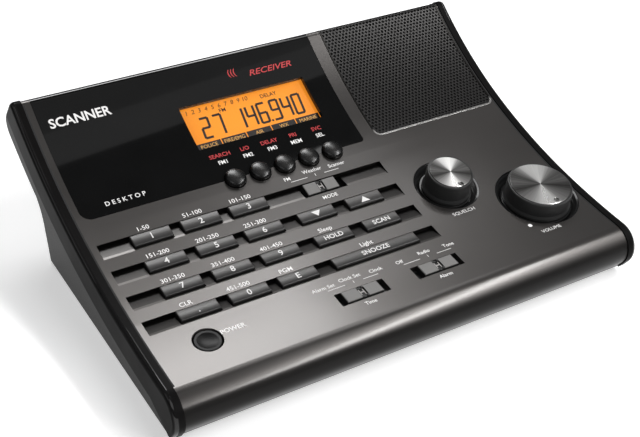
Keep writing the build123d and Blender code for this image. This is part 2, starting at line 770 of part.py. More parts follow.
def slider(name):
    """Tab with a notch, its dust shield and the leg into the switch."""
    x, s, window, tab, offset = SLIDERS[name]
    under = -wall_at(name) - MOVE_GAP
    pad = top_rounded(block(tab, TAB_DEEP, under - 0.1, TAB_LIFT), 0.4)
    pad -= block(3.4, TAB_DEEP - 2.2, TAB_LIFT - 1.0, 3) + block(1.6, TAB_DEEP + 1, TAB_LIFT - 0.6, 3)
    shield = block(window + 4.0, WINDOW_DEEP + 1.4, under - FLANGE_THICK, under)
    leg = block(2.4, 2.0, under - 3.2, under)
    return on_deck(x + offset, s, pad + shield + leg)


def switch_body(name):
    """Body under the slider, with a slot for the leg."""
    x, s, window, _, offset = SLIDERS[name]
    low, high = slider_travel(name)
    top = -wall_at(name) - 2 * MOVE_GAP - FLANGE_THICK
    slot = Pos((low + high) / 2, 0, 0) * block(high - low + 2.4 + 1.0, 2.8, top - 2.9, 1)
    drop = board_drop(x + offset, s)[0]
    body = on_deck(x + offset, s, block(window - 2, 6.4, -drop - 2, top) - slot)
    return body & on_board(board_plane().origin, block(300, 300, 0.02, 60))


# ======== boards ========

def board_deep():
    return (deck_point(BOARD_S[1], -BOARD_DROP) - deck_point(BOARD_S[0], -BOARD_DROP)).length


def control_board():
    middle = sum(BOARD_X) / 2
    plate = Pos(middle, 0, 0) * block(BOARD_X[1] - BOARD_X[0], board_deep(), -BOARD_THICK, 0)
    plate -= [Pos(x, 0, 0) * block(6.0, 1.6, -3, 1) for x in (-80.0, -30.0)]
    return board_plane().location * plate


def under_board(y):
    """Height of the control board's underside."""
    board = board_plane()
    run = board.z_dir.Z
    rise = -board.z_dir.Y
    return board.origin.Z + (y - board.origin.Y) * rise / run - BOARD_THICK / run


def main_span():
    """Front and rear of the main board, which starts where the other board leaves it room."""
    y = MAIN_Y[0]
    while under_board(y) < MAIN_Z + BOARD_THICK + BOARD_ROOM:
        y += 0.5
    return y, MAIN_Y[1]


def main_posts():
    x0, x1 = BOARD_X
    y0, y1 = main_span()
    return [(x, y) for x in (x0 + 5, x1 - 5) for y in (y0 + 6, y1 - 6)]


def main_board():
    x0, x1 = BOARD_X
    y0, y1 = main_span()
    plate = Pos((x0 + x1) / 2, (y0 + y1) / 2, 0) * block(x1 - x0, y1 - y0, MAIN_Z, MAIN_Z + BOARD_THICK)
    for i in range(5):
        chip = block(9.0, 7.0, MAIN_Z + BOARD_THICK - 0.1, MAIN_Z + BOARD_THICK + 1.6)
        plate += Pos(-70 + 22 * i, -30 + 9 * (i % 2), 0) * chip
    return plate


def board_screws():
    top = MAIN_Z + BOARD_THICK
    screw = fillet(disc(2.6, top + 0.02, top + 1.8).edges().sort_by(Axis.Z)[-1], 0.6)
    return [Pos(x, y, 0) * (screw - block(0.7, 4, top + 1, top + 3)) for x, y in main_posts()]


def tuner_shield():
    foot = MAIN_Z + BOARD_THICK
    top = min(foot + 10.0, under_board(SHIELD_Y - SHIELD_DEEP / 2) - SHIELD_ROOM)
    can = block(46.0, SHIELD_DEEP, foot + 0.02, top) - block(45.0, SHIELD_DEEP - 1, foot - 1, top - 0.5)
    for i in range(4):
        can -= Pos(-15 + 10 * i, 0, 0) * disc(2.0, top - 1, top + 1)
    return Pos(ANTENNA_X + 4, SHIELD_Y, 0) * can


# ======== connectors ========

def antenna_jack():
    """Bayonet coaxial socket through the rear wall."""
    barrel = disc(BNC_R, -8.0, BNC_LONG) + disc(7.2, 0.05, 1.8)
    lug = Pos(0, 0, BNC_LONG - 2.4) * Cylinder(0.95, 2 * BNC_R + 1.9, rotation=(0, 90, 0))
    bore = disc(BNC_BORE_R, BNC_LONG - BNC_BORE_DEEP, BNC_LONG + 1)
    return on_rear(ANTENNA_X, barrel + lug - bore - disc(0.7, 1.0, BNC_LONG))


def power_jack():
    """Direct-current socket with its centre pin."""
    jack = disc(4.0, -2.5, 0.4) + block(9.5, 10.5, -13.0, -BASE_WALL - 0.1)
    jack -= disc(2.85, -10.0, 1.0)
    return on_rear(POWER_JACK_X, jack + disc(0.95, -11.0, -1.0))


def earphone_jack():
    jack = disc(3.5, -2.5, 0.6) + block(9.0, 9.5, -16.0, -BASE_WALL - 0.1)
    return on_rear(EARPHONE_X, jack - disc(EARPHONE_R, 0.6 - EARPHONE_DEEP, 1.0))


# ======== output ========

def all_parts():
    left = cheek()
    parts = {
        "top_cover": top_cover(),
        "left_cheek": left,
        "right_cheek": mirror(left, about=Plane.YZ),
        "base_shell": base_shell(),
        "rubber_feet": rubber_feet(),
        "screws": case_screws() + board_screws(),
        "battery_cover": battery_cover(),
        "backup_battery": backup_battery(),
        "display_lens": display_lens(),
        "lcd_window": lcd_window(),
        "lcd_panel": lcd_panel(),
        "lcd_backlight": lcd_backlight(),
        "speaker_grille": grille_plate(0, 0.0, -GRILLE_THICK + 0.05),
        "speaker_frame": speaker_frame(),
        "speaker_cone": speaker_cone(),
        "speaker_magnet": speaker_magnet(),
        "power_button": power_button(),
        "tact_switches": tact_switches(),
        "slide_switch_bodies": [switch_body(name) for name in SLIDERS],
        "control_board": control_board(),
        "main_board": main_board(),
        "tuner_shield": tuner_shield(),
        "antenna_jack": antenna_jack(),
        "power_jack": power_jack(),
        "earphone_jack": earphone_jack(),
    }
    for name in KNOBS:
        parts[name + "_well"] = on_knob(name, knob_well(name))
        parts[name + "_pot"] = on_knob(name, knob_pot(name))
        parts[name + "_shaft"] = on_knob(name, knob_shaft(name))
        parts[name + "_knob"] = on_knob(name, knob_body(name))
        parts[name + "_knob_disc"] = on_knob(name, knob_disc(name))
    for name, place in key_places().items():
        parts[name] = key(place)
    for i, place in enumerate(function_places()):
        parts[f"function_button_{i + 1}"] = function_button(place)
    for name in SLIDERS:
        parts[name + "_slider"] = slider(name)
    return parts


def as_shape(part):
    """One shape to export: a list becomes a group of separate solids."""
    if isinstance(part, list):
        return Compound(children=[Compound(s.solids()) for s in part])
    return part


os.makedirs("parts", exist_ok=True)
for node, part in all_parts().items():
    export_step(as_shape(part), f"parts/{node}.step")
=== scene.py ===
"""Looks of the desktop police scanner: finishes, grille, display, legends and stage."""

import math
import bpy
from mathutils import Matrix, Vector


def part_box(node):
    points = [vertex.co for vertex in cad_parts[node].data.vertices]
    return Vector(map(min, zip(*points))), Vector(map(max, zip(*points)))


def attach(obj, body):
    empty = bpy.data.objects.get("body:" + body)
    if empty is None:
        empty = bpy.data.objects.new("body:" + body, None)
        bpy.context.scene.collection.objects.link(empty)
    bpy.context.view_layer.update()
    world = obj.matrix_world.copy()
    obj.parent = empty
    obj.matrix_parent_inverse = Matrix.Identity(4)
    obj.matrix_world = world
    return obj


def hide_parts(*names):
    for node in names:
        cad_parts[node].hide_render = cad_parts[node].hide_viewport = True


bl_info = {
    "name": "Desktop Police Scanner",
    "version": (1, 0, 0),
    "blender": (4, 5, 0),
    "location": "View3D > Sidebar > Scanner",
    "description": "Dresses the scanner's frame with its finishes, grille, display and legends",
    "category": "Object",
}

import bpy
from bpy.props import FloatProperty, FloatVectorProperty, PointerProperty
from mathutils import Matrix, Vector

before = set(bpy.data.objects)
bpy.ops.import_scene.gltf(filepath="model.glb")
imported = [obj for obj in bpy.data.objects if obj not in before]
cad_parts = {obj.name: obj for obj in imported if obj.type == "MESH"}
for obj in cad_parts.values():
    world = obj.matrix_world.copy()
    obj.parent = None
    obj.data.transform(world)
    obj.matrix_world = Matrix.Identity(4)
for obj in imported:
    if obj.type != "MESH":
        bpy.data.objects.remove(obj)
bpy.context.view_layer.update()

MM = 0.001
CASE = "case"

# ---- the deck's curve, in millimetres as in the design ----
DECK_START_Z = 23.2
DECK_START_SLOPE = math.radians(0.28)
ARC_RADII = (390.0, 275.0, 203.0)
ARC_LENGTHS = (40.0, 60.0, 90.0)
NOSE_REACH = 6.555
SLAB_END = 163.0
END_RADIUS = 3.0
BEND_START = SLAB_END - END_RADIUS
DECK_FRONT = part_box("left_cheek")[0].y / MM + NOSE_REACH

# ---- places on it: x across, s up the slope, lift out of it ----
ROW_REAR, ROW_PITCH = 84.8, 14.7
KEY_BACK, KEY_DEEP, KEY_LIFT = 0.8, 5.9, 1.0
NUMBER_X, NUMBER_PITCH = -84.0, 23.15
COMMAND_X, COMMAND_PITCH = -11.3, 24.8
FUNCTION_X, FUNCTION_PITCH, FUNCTION_S = -35.8, 12.65, 97.5
WINDOW_X, WINDOW_S = -11.75, 128.9
PANEL_LIFT = -2.1
SLIDERS = {"mode": (0.3, 80.6), "time": (-17.9, 17.5), "alarm": (20.3, 17.5)}
KNOBS = {"squelch": (55.2, 60.0, 8.8), "volume": (91.1, 37.0, 7.5)}
GRILLE_FRONT, TRIM_LOW = 98.5, 4.2
GRILLE_REAR = BEND_START + END_RADIUS * (math.pi / 2 - 1) + TRIM_LOW
LEGEND_RISE = 5.7              # a key's legend above its middle

# ---- where a finish or its painted shade changes ----
NOSE_DARK_Z, NOSE_FADE = 17.0, 4.0
ROW_SUNK, ROW_HALF = -0.35, 6.0
SEAM_WIDE, SEAM_FRONT, SEAM_REAR = 0.9, 4.5, BEND_START + 2.0
PANEL_HALF = (33.0, 12.5)
CHEEK_EDGE = (113.8, 115.7)


# ======== places on the deck ========

def deck_state(s):
    """Point (y, z) and slope at distance s along the deck, in millimetres and radians."""
    y, z, slope = DECK_FRONT, DECK_START_Z, DECK_START_SLOPE
    for radius, length in zip(ARC_RADII, ARC_LENGTHS):
        step = s if radius == ARC_RADII[-1] else min(s, length)
        turned = slope + step / radius
        y += radius * (math.sin(turned) - math.sin(slope))
        z += radius * (math.cos(slope) - math.cos(turned))
        slope = turned
        s -= step
        if s <= 0:
            break
    return y, z, slope


def deck_place(x, s, lift):
    """Point in metres for a place on the deck in millimetres, over the rear bend too."""
    over = s - BEND_START
    if over <= 0:
        y, z, slope = deck_state(s)
        return Vector((x, y - lift * math.sin(slope), z + lift * math.cos(slope))) * MM
    y, z, slope = deck_state(BEND_START)
    centre_y, centre_z = y + END_RADIUS * math.sin(slope), z - END_RADIUS * math.cos(slope)
    turn = min(over / END_RADIUS, math.pi / 2)
    down = over - turn * END_RADIUS
    out = slope + math.pi / 2 - turn
    reach = END_RADIUS + lift
    y = centre_y + reach * math.cos(out) + down * math.sin(out)
    z = centre_z + reach * math.sin(out) - down * math.cos(out)
    return Vector((x, y, z)) * MM


def deck_matrix(x, s, lift=0.0):
    """Matrix that stands a flat piece, modelled in metres, on the deck's plane at a place."""
    slope = deck_state(s)[2]
    return Matrix.Translation(deck_place(x, s, lift)) @ Matrix.Rotation(slope, 4, "X")


def key_places():
    """Key name to x and s of its middle."""
    places = {}
    rows = [ROW_REAR - row * ROW_PITCH - KEY_BACK - KEY_DEEP / 2 for row in range(4)]
    names = (("1", "2", "3"), ("4", "5", "6"), ("7", "8", "9"), ("point", "0", "enter"))
    for s, labels in zip(rows, names):
        for column, label in enumerate(labels):
            places[label] = (NUMBER_X + column * NUMBER_PITCH, s)
    for s, labels in zip(rows[1:], (("down", "up"), ("hold", "scan"))):
        for column, label in enumerate(labels):
            places[label] = (COMMAND_X + column * COMMAND_PITCH, s)
    places["snooze"] = (COMMAND_X + COMMAND_PITCH / 2, rows[3])
    return places


# ======== modelling helpers ========

def deselect():
    """Leave edit mode with nothing selected."""
    if bpy.context.object and bpy.context.object.mode != "OBJECT":
        bpy.ops.object.mode_set(mode="OBJECT")
    bpy.ops.object.select_all(action="DESELECT")


def make_active(piece):
    """Select one piece alone."""
    deselect()
    piece.select_set(True)
    bpy.context.view_layer.objects.active = piece


def bake_place(piece):
    """Put a piece's place into its mesh and its object at the origin."""
    make_active(piece)
    bpy.ops.object.transform_apply(location=True, rotation=True, scale=True)
    return piece


def add_modifier(piece, kind, **settings):
    """Add a modifier and apply it."""
    make_active(piece)
    modifier = piece.modifiers.new(kind.title(), kind)
    for key, value in settings.items():
        setattr(modifier, key, value)
    bpy.ops.object.modifier_apply(modifier=modifier.name)
    return piece


def wrap(piece):
    """Lay a piece modelled flat in millimetres of (x, s, lift) onto the deck's curve."""
    for vertex in piece.data.vertices:
        vertex.co = deck_place(*vertex.co)
    piece.data.update()
    return piece


def stand(piece, matrix):
    """Move a piece's mesh by a matrix."""
    piece.data.transform(matrix)
    piece.data.update()
    return piece


def select_faces(piece, test):
    """In edit mode select the faces whose centre and normal pass a test."""
    make_active(piece)
    bpy.ops.object.mode_set(mode="EDIT")
    bpy.ops.mesh.select_mode(type="FACE")
    bpy.ops.mesh.select_all(action="DESELECT")
    bpy.ops.object.mode_set(mode="OBJECT")
    for face in piece.data.polygons:
        face.select = test(face.center, face.normal)
    bpy.ops.object.mode_set(mode="EDIT")


def join(pieces, name):
    """One piece made of several."""
    deselect()
    for piece in pieces:
        piece.select_set(True)
    bpy.context.view_layer.objects.active = pieces[0]
    if len(pieces) > 1:
        bpy.ops.object.join()
    made = bpy.context.object
    made.name = made.data.name = name
    return made


def dress(piece, finish, body=CASE):
    """Give a new piece its material, body and material slot."""
    piece.data.materials.clear()
    piece.data.materials.append(finish)
    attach(piece, body)
    return piece


def paint(nodes, finish):
    """Give CAD nodes a material in place of their plain one."""
    for node in nodes:
        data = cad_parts[node].data
        data.materials.clear()
        data.materials.append(finish)


def words(text, size, bold=0.0, slant=0.0, spacing=1.0, wide=1.0):
    """Flat lettering centred on the origin, in millimetres."""
    deselect()
    bpy.ops.object.text_add(location=(0, 0, 0))
    piece = bpy.context.object
    letters = piece.data
    letters.body = text
    letters.size = size * 1.38
    letters.align_x = "CENTER"
    letters.align_y = "CENTER"
    letters.shear = slant
    letters.space_character = spacing
    letters.offset = bold
    letters.extrude = 0.02
    letters.resolution_u = 3
    bpy.ops.object.convert(target="MESH")
    piece = bpy.context.object
    piece.data.transform(Matrix.Diagonal((wide, 1.0, 1.0, 1.0)))
    return piece


def bar(x0, x1, s0, s1, thick=0.02):
    """Flat bar, with rounded upper edges, between two places in millimetres."""
    deselect()
    bpy.ops.mesh.primitive_cube_add(size=1, location=((x0 + x1) / 2, (s0 + s1) / 2, 0))
    piece = bpy.context.object
    piece.scale = (x1 - x0, s1 - s0, thick)
    bake_place(piece)
    select_faces(piece, lambda centre, normal: normal.z > 0.9)
    bpy.ops.mesh.inset(thickness=thick, depth=thick * 0.3)
    bpy.ops.object.mode_set(mode="OBJECT")
    return piece


def shift(piece, x, s, lift):
    """Move a piece's mesh, in the units that it is modelled in."""
    piece.data.transform(Matrix.Translation((x, s, lift)))
    return piece


# ======== shader helpers ========

class Value:
    """A shader socket that can be used in Python sums."""

    def __init__(self, finish, socket):
        self.finish = finish
        self.socket = socket

    def _sum(self, operation, other, swap=False):
        pair = (other, self) if swap else (self, other)
        settings = {"operation": operation}
        return self.finish.node("ShaderNodeMath", settings, {0: pair[0], 1: pair[1]})

    def __add__(self, other):
        return self._sum("ADD", other)

    def __sub__(self, other):
        return self._sum("SUBTRACT", other)

    def __rsub__(self, other):
        return self._sum("SUBTRACT", other, swap=True)

    def __mul__(self, other):
        return self._sum("MULTIPLY", other)

    def __truediv__(self, other):
        return self._sum("DIVIDE", other)

    def above(self, other):
        return self._sum("GREATER_THAN", other)

    def below(self, other):
        return self._sum("LESS_THAN", other)

    def power(self, other):
        return self._sum("POWER", other)

    def most(self, other):
        return self._sum("MAXIMUM", other)

    def least(self, other):
        return self._sum("MINIMUM", other)

    def angle_from(self, other):
        return self._sum("ARCTAN2", other)

    def cosine(self):
        return self.finish.node("ShaderNodeMath", {"operation": "COSINE"}, {0: self})

    def size(self):
        return self.finish.node("ShaderNodeMath", {"operation": "ABSOLUTE"}, {0: self})

    __radd__ = __add__
    __rmul__ = __mul__


class Finish:
    """A node material built by name."""

    def __init__(self, name, colour, roughness, metallic=0.0, **constants):
        self.material = bpy.data.materials.new(name)
        self.material.use_nodes = True
        self.tree = self.material.node_tree
        self.shader = self.tree.nodes["Principled BSDF"]
        self.output = self.tree.nodes["Material Output"]
        self.material.diffuse_color = (*colour[:3], 1)
        self.set("Base Color", (*colour[:3], 1))
        self.set("Roughness", roughness)
        self.set("Metallic", metallic)
        for key, value in constants.items():
            self.set(key.replace("_", " ").title().replace("Ior", "IOR"), value)
        self._place = None

    def node(self, kind, settings=None, inputs=None, out=0):
        """Any node, from its type, its settings and what its sockets hold."""
        made = self.tree.nodes.new(kind)
        for key, value in (settings or {}).items():
            if key == "stops":
                self._stops(made.color_ramp, value)
            else:
                setattr(made, key, value)
        for key, value in (inputs or {}).items():
            self._feed(made.inputs[key], value)
        return Value(self, made.outputs[out])

    def _stops(self, ramp, stops):
        while len(ramp.elements) < len(stops):
            ramp.elements.new(0.5)
        for element, (position, colour) in zip(ramp.elements, stops):
            element.position = position
            element.color = (*colour, 1) if hasattr(colour, "__len__") else (colour,) * 3 + (1,)

    def _feed(self, socket, value):
        if isinstance(value, Value):
            self.tree.links.new(value.socket, socket)
        else:
            socket.default_value = value

    def set(self, name, value):
        """Give a socket of the shader a value or a link."""
        self._feed(self.shader.inputs[name], value)

    def place(self):
        """Object coordinates, in metres."""
        if self._place is None:
            self._place = self.node("ShaderNodeTexCoord", out="Object")
        return self._place

    def about(self, matrix):
        """Object coordinates as seen from a plane, in millimetres."""
        location, rotation, _ = matrix.inverted().decompose()
        inputs = {
            "Vector": self.place(),
            "Location": location * (1 / MM),
            "Rotation": rotation.to_euler(),
            "Scale": (1 / MM,) * 3,
        }
        return self.node("ShaderNodeMapping", {"vector_type": "POINT"}, inputs)

    def parts(self, vector):
        """The x, y and z of a vector."""
        split = self.tree.nodes.new("ShaderNodeSeparateXYZ")
        self._feed(split.inputs[0], vector)
        return [Value(self, socket) for socket in split.outputs]

    def noise(self, scale, detail=3.0, roughness=0.5, vector=None, out="Fac"):
        """Noise of so many lumps to the metre."""
        inputs = {"Vector": vector or self.place(), "Scale": scale}
        inputs.update({"Detail": detail, "Roughness": roughness})
        return self.node("ShaderNodeTexNoise", {}, inputs, out)

    def ramp(self, factor, stops):
        """Colours that follow one another along a factor."""
        return self.node("ShaderNodeValToRGB", {"stops": stops}, {0: factor})

    def blend(self, factor, first, second):
        """Colour that goes from first to second."""
        inputs = {"Factor": factor, 6: (*first, 1) if hasattr(first, "__len__") else first}
        inputs[7] = (*second, 1) if hasattr(second, "__len__") else second
        return self.node("ShaderNodeMix", {"data_type": "RGBA"}, inputs, out=2)

    def span(self, factor, low, high):
        """Number between low and high for a factor from 0 to 1."""
        return factor * (high - low) + low

    def bump(self, height, strength, distance=0.0001):
        """Tilt the surface's shading by a height."""
        inputs = {"Height": height, "Strength": strength, "Distance": distance}
        self.set("Normal", self.node("ShaderNodeBump", {}, inputs, out="Normal"))
        return self


# ======== what a user would change ========

class ScannerSizes(bpy.types.PropertyGroup):
    hole_pitch: FloatProperty(
        name="Hole pitch", description="Pitch of the grille's holes",
        default=1.95 * MM, unit="LENGTH")
    hole_size: FloatProperty(
        name="Hole size", description="Diameter of the grille's holes",
        default=1.3 * MM, unit="LENGTH")
    grille_thick: FloatProperty(
        name="Grille thickness", description="Sheet thickness of the grille",
        default=0.5 * MM, unit="LENGTH")
    legend_lift: FloatProperty(
        name="Legend lift", description="Printed legends above the surface",
        default=0.04 * MM, unit="LENGTH")
    digit_height: FloatProperty(
        name="Digit height", description="Height of the display's large digits",
        default=10.4 * MM, unit="LENGTH")


class ScannerColours(bpy.types.PropertyGroup):
    deck: FloatVectorProperty(
        name="Deck paint", description="Metallic paint of the deck",
        default=(0.072, 0.067, 0.064), subtype="COLOR")
    cheek: FloatVectorProperty(
        name="Cheeks", description="Glossy end caps",
        default=(0.008, 0.0075, 0.0075), subtype="COLOR")
    base: FloatVectorProperty(
        name="Base", description="Textured base plastic",
        default=(0.012, 0.0115, 0.0115), subtype="COLOR")
    keys: FloatVectorProperty(
        name="Keys", description="Satin plastic of the keys",
        default=(0.03, 0.028, 0.027), subtype="COLOR")
    amber: FloatVectorProperty(
        name="Backlight", description="Light of the display",
        default=(1.0, 0.33, 0.025), subtype="COLOR")
    print_white: FloatVectorProperty(
        name="White print", description="Printed legends",
        default=(0.78, 0.77, 0.76), subtype="COLOR")
    print_red: FloatVectorProperty(
        name="Red print", description="Second legends of the round buttons",
        default=(0.55, 0.03, 0.035), subtype="COLOR")


def sizes():
    """The sizes that a user can change."""
    return bpy.context.scene.scanner_sizes


def colours():
    """The colours that a user can change."""
    return bpy.context.scene.scanner_colours


# ======== finishes ========

def tint(colour, share, more=0.0):
    """Colour made lighter or darker."""
    return tuple(c * share + more for c in colour)


def metallic_paint(name, colour, roughness, shade=None):
    """Satin paint with fine flake, slight orange peel and uneven gloss, and painted shade where a
    shade mask is given.
    """
    finish = Finish(name, colour, roughness, 0.8, coat_weight=0.4, coat_roughness=0.16)
    flake = finish.noise(9000.0, 1.0)
    cloud = finish.noise(22.0, 3.0)
    sprayed = finish.blend(flake * 0.6 + cloud * 0.4, tint(colour, 0.86), tint(colour, 1.14))
    # Where the shade mask is low, painted shade darkens the paint's colour.
    if shade:
        unshaded_share = shade(finish)
        sprayed = finish.blend(unshaded_share, tint(colour, 0.12), sprayed)
        finish.set("Coat Weight", unshaded_share * 0.4)
    finish.set("Base Color", sprayed)
    finish.set("Roughness", finish.span(cloud, roughness - 0.05, roughness + 0.05))
    return finish.bump(finish.noise(2600.0, 2.0), 0.06).material


def deck_shade(finish):
    """Painted shade: darker down in the key rows, most at their rear, and under the nose."""
    height = finish.parts(finish.place())[2] / MM
    # Painted shade under the nose: darker below NOSE_DARK_Z.
    unshaded_share = ((height - NOSE_DARK_Z) / NOSE_FADE).least(1.0).most(0.0)
    for row in range(4):
        s = ROW_REAR - row * ROW_PITCH - KEY_BACK - KEY_DEEP / 2
        _, along, lift = finish.parts(finish.about(deck_matrix(0, s)))
        # Painted shade down in each key row, strongest at the row's rear edge.
        sunk = lift.below(ROW_SUNK) * along.size().below(ROW_HALF)
        fade = ((3.2 - along) * 0.055).least(0.4).most(0.0)
        unshaded_share = unshaded_share * (1.0 - sunk * (1.0 - fade))
    return unshaded_share


def gloss_plastic(name, colour, roughness=0.08, coat=0.5, shine=0.5):
    """Moulded gloss plastic with faint waviness and wiped dust haze."""
    finish = Finish(name, colour, roughness, coat_weight=coat, coat_roughness=0.03)
    finish.set("Specular IOR Level", shine)
    haze = finish.noise(60.0, 5.0, 0.6)
    finish.set("Roughness", finish.span(haze, roughness * 0.6, roughness * 1.5))
    finish.set("Base Color", finish.blend(haze, colour, tint(colour, 1.5, 0.002)))
    return finish.bump(finish.noise(90.0, 1.0), 0.02).material


def cheek_finish():
    """End caps: polished along their edges, satin on their outer sides."""
    colour = tuple(colours().cheek)
    finish = Finish("cheek_gloss", colour, 0.3, coat_roughness=0.05)
    finish.set("Specular IOR Level", 0.03)
    across = finish.parts(finish.place())[0].size() / MM
    haze = finish.noise(60.0, 5.0, 0.6)
    edge = ((across - CHEEK_EDGE[0]) * 2.0).least((CHEEK_EDGE[1] - across) * 2.0)
    finish.set("Coat Weight", edge.least(1.0).most(0.0) * 0.8)
    finish.set("Base Color", finish.blend(haze, tint(colour, 0.6), colour))
    finish.set("Roughness", finish.span(haze, 0.34, 0.5))
    return finish.bump(finish.noise(90.0, 1.0), 0.02).material


def textured_plastic(name, colour, roughness=0.55, grain=1800.0, depth=0.35):
    """Moulded plastic with a fine spark-eroded grain."""
    finish = Finish(name, colour, roughness)
    grain_height = finish.noise(grain, 3.0, 0.6)
    cloud = finish.noise(30.0, 3.0)
    lighter = tint(colour, 1.35, 0.003)
    finish.set("Base Color", finish.blend(grain_height * 0.5 + cloud * 0.5, colour, lighter))
    finish.set("Roughness", finish.span(grain_height, roughness - 0.08, roughness + 0.1))
    return finish.bump(grain_height, depth).material


def bare_metal(name, colour, roughness=0.3, scale=900.0):
    """Plated or brushed metal with a fine drawn grain."""
    finish = Finish(name, colour, roughness, 1.0)
    drawn = {"Vector": finish.place(), "Scale": (1, 0.05, 1)}
    grain = finish.noise(scale, 3.0, 0.6, finish.node("ShaderNodeMapping", {}, drawn))
    finish.set("Base Color", finish.blend(grain, tint(colour, 0.75), colour))
    finish.set("Roughness", finish.span(grain, roughness - 0.08, roughness + 0.12))
    return finish.bump(grain, 0.08).material


def spun_metal(name, matrix):
    """Spun disc: fine rings by bump, painted reflections of the radial fans of light that they throw,
    and painted shade in its dimple.
    """
    finish = Finish(name, (0.8, 0.79, 0.77), 0.3, 1.0)
    x, y, z = finish.parts(finish.about(matrix))
    turn = y.angle_from(x)
    # Painted reflection: radial fans and streaks of light painted into the colour.
    fan = (turn * 2.0 - 2.35).cosine() * 0.5 + 0.5
    streak = (turn * 7.0 + 0.6).cosine() * 0.5 + 0.5
    reach = (x * x + y * y).power(0.5)
    around = finish.node("ShaderNodeCombineXYZ", {}, {0: turn * 11.0, 1: reach * 0.02})
    fine = finish.noise(1.0, 4.0, 0.75, around)
    # Painted shade in the dimple.
    sunk = z.below(-0.08)
    painted_sheen = fan.power(2.2) * 0.75 + streak * 0.1 + fine * 0.3 - 0.08
    shade = (painted_sheen - sunk * 0.45).least(1.0).most(0.0)
    dark, middle, light = (0.03, 0.029, 0.028), (0.3, 0.295, 0.29), (1.0, 0.99, 0.97)
    finish.set("Base Color", finish.ramp(shade, [(0.05, dark), (0.45, middle), (0.9, light)]))
    finish.set("Roughness", finish.span(shade, 0.42, 0.26))
    rings = (reach * 60.0).cosine()
    return finish.bump(rings, 0.05, 0.00002).material


def crowned_key(name, colour, s):
    """Satin key whose top is crowned from front to rear by a bump, with painted light: lighter to the
    rear, painted shade at the front and sides.
    """
    finish = Finish(name, colour, 0.36)
    _, along, lift = finish.parts(finish.about(deck_matrix(0, s)))
    grain = finish.noise(2600.0, 3.0)
    across = (along / (KEY_DEEP / 2)).least(1.0).most(-1.0)
    raised = (lift * 1.2).least(1.0).most(0.0)
    # Painted light: the top is lighter towards its rear, with painted shade at its front and down its
    # sides.
    pale = ((across * 0.6 + 0.5).most(0.0) * raised).least(1.0)
    finish.set("Base Color", finish.blend(pale, tint(colour, 0.3), tint(colour, 2.6)))
    finish.set("Roughness", finish.span(grain, 0.3, 0.46))
    crown = 1.0 - across * across
    return finish.bump(crown + grain * 0.02, 1.0, 0.00045).material


def domed_button(name, x):
    """Dark round button: a shallow dome by bump, its middle painted lighter and its edge painted
    darker as a shaded ring.
    """
    finish = Finish(name, (0.012, 0.0115, 0.011), 0.26)
    across, along, _ = finish.parts(finish.about(deck_matrix(x, FUNCTION_S)))
    reach = (across * across + along * along).power(0.5)
    grain = finish.noise(2400.0, 3.0)
    # Painted light: lighter in the middle, painted shade darkening towards the edge.
    middle = (1.0 - reach / 3.6).most(0.0)
    finish.set("Base Color", finish.blend(middle, (0.003, 0.003, 0.003), (0.02, 0.019, 0.018)))
    finish.set("Roughness", finish.span(grain, 0.2, 0.34))
    return finish.bump(0.0 - reach * reach * 0.05 + grain * 0.01, 1.0, 0.0008).material


def print_ink(name, colour, painted_glow=0.0):
    """Screen-printed ink, slightly uneven, which may be given a faint glow of painted light."""
    finish = Finish(name, colour, 0.5)
    patch = finish.noise(1500.0, 3.0)
    finish.set("Base Color", finish.blend(patch, tint(colour, 0.8), colour))
    # Painted light: the ink glows a little, though it is no lamp.
    if painted_glow:
        finish.set("Emission Color", (*colour, 1))
        finish.set("Emission Strength", painted_glow)
    finish.set("Roughness", finish.span(patch, 0.4, 0.6))
    return finish.bump(patch, 0.1).material


def slider_finish(name, matrix):
    """Two pale pads, black between and round them."""
    light = (0.2, 0.195, 0.19)
    finish = Finish(name + "_slider_two_tone", light, 0.5)
    x, y, z = finish.parts(finish.about(matrix))
    pads = x.size().above(1.75) * z.above(0.35) * y.size().below(3.2)
    grain = finish.noise(2600.0, 3.0)
    pale = finish.blend(grain, (0.15, 0.146, 0.142), light)
    finish.set("Base Color", finish.blend(pads, (0.006, 0.006, 0.006), pale))
    finish.set("Roughness", finish.span(grain, 0.42, 0.58))
    return finish.bump(grain, 0.2).material


def amber_panel():
    """Backlit liquid-crystal glass, brightest low and fading to its edges."""
    amber = tuple(colours().amber)
    finish = Finish("lcd_amber", amber, 0.3, emission_strength=0.85)
    across, along, _ = finish.parts(finish.about(deck_matrix(WINDOW_X, WINDOW_S)))
    sides = (across / PANEL_HALF[0]).size().power(6.0)
    edge = sides.most((along / PANEL_HALF[1]).size().power(6.0))
    grain = finish.noise(2500.0, 2.0)
    lift = (1.0 - edge * 0.55) * (0.94 + grain * 0.12)
    level = (lift + along * 0.003).least(1.0).most(0.0)
    deep = tuple(c * k for c, k in zip(amber, (0.62, 0.5, 0.4)))
    finish.set("Base Color", finish.blend(level, tint(deep, 0.3), tint(amber, 0.4)))
    finish.set("Emission Color", finish.blend(level, deep, amber))
    return finish.bump(grain, 0.02).material


def clear_pane():
    """Clear gloss pane: mostly see-through, with a faint haze."""
    finish = Finish("clear_pane", (0.02, 0.02, 0.02), 0.04, ior=1.49)
    haze = finish.noise(40.0, 4.0)
    finish.set("Alpha", finish.span(haze, 0.03, 0.07))
    finish.set("Roughness", finish.span(haze, 0.02, 0.06))
    return finish.bump(haze, 0.01).material


# ======== operators ========

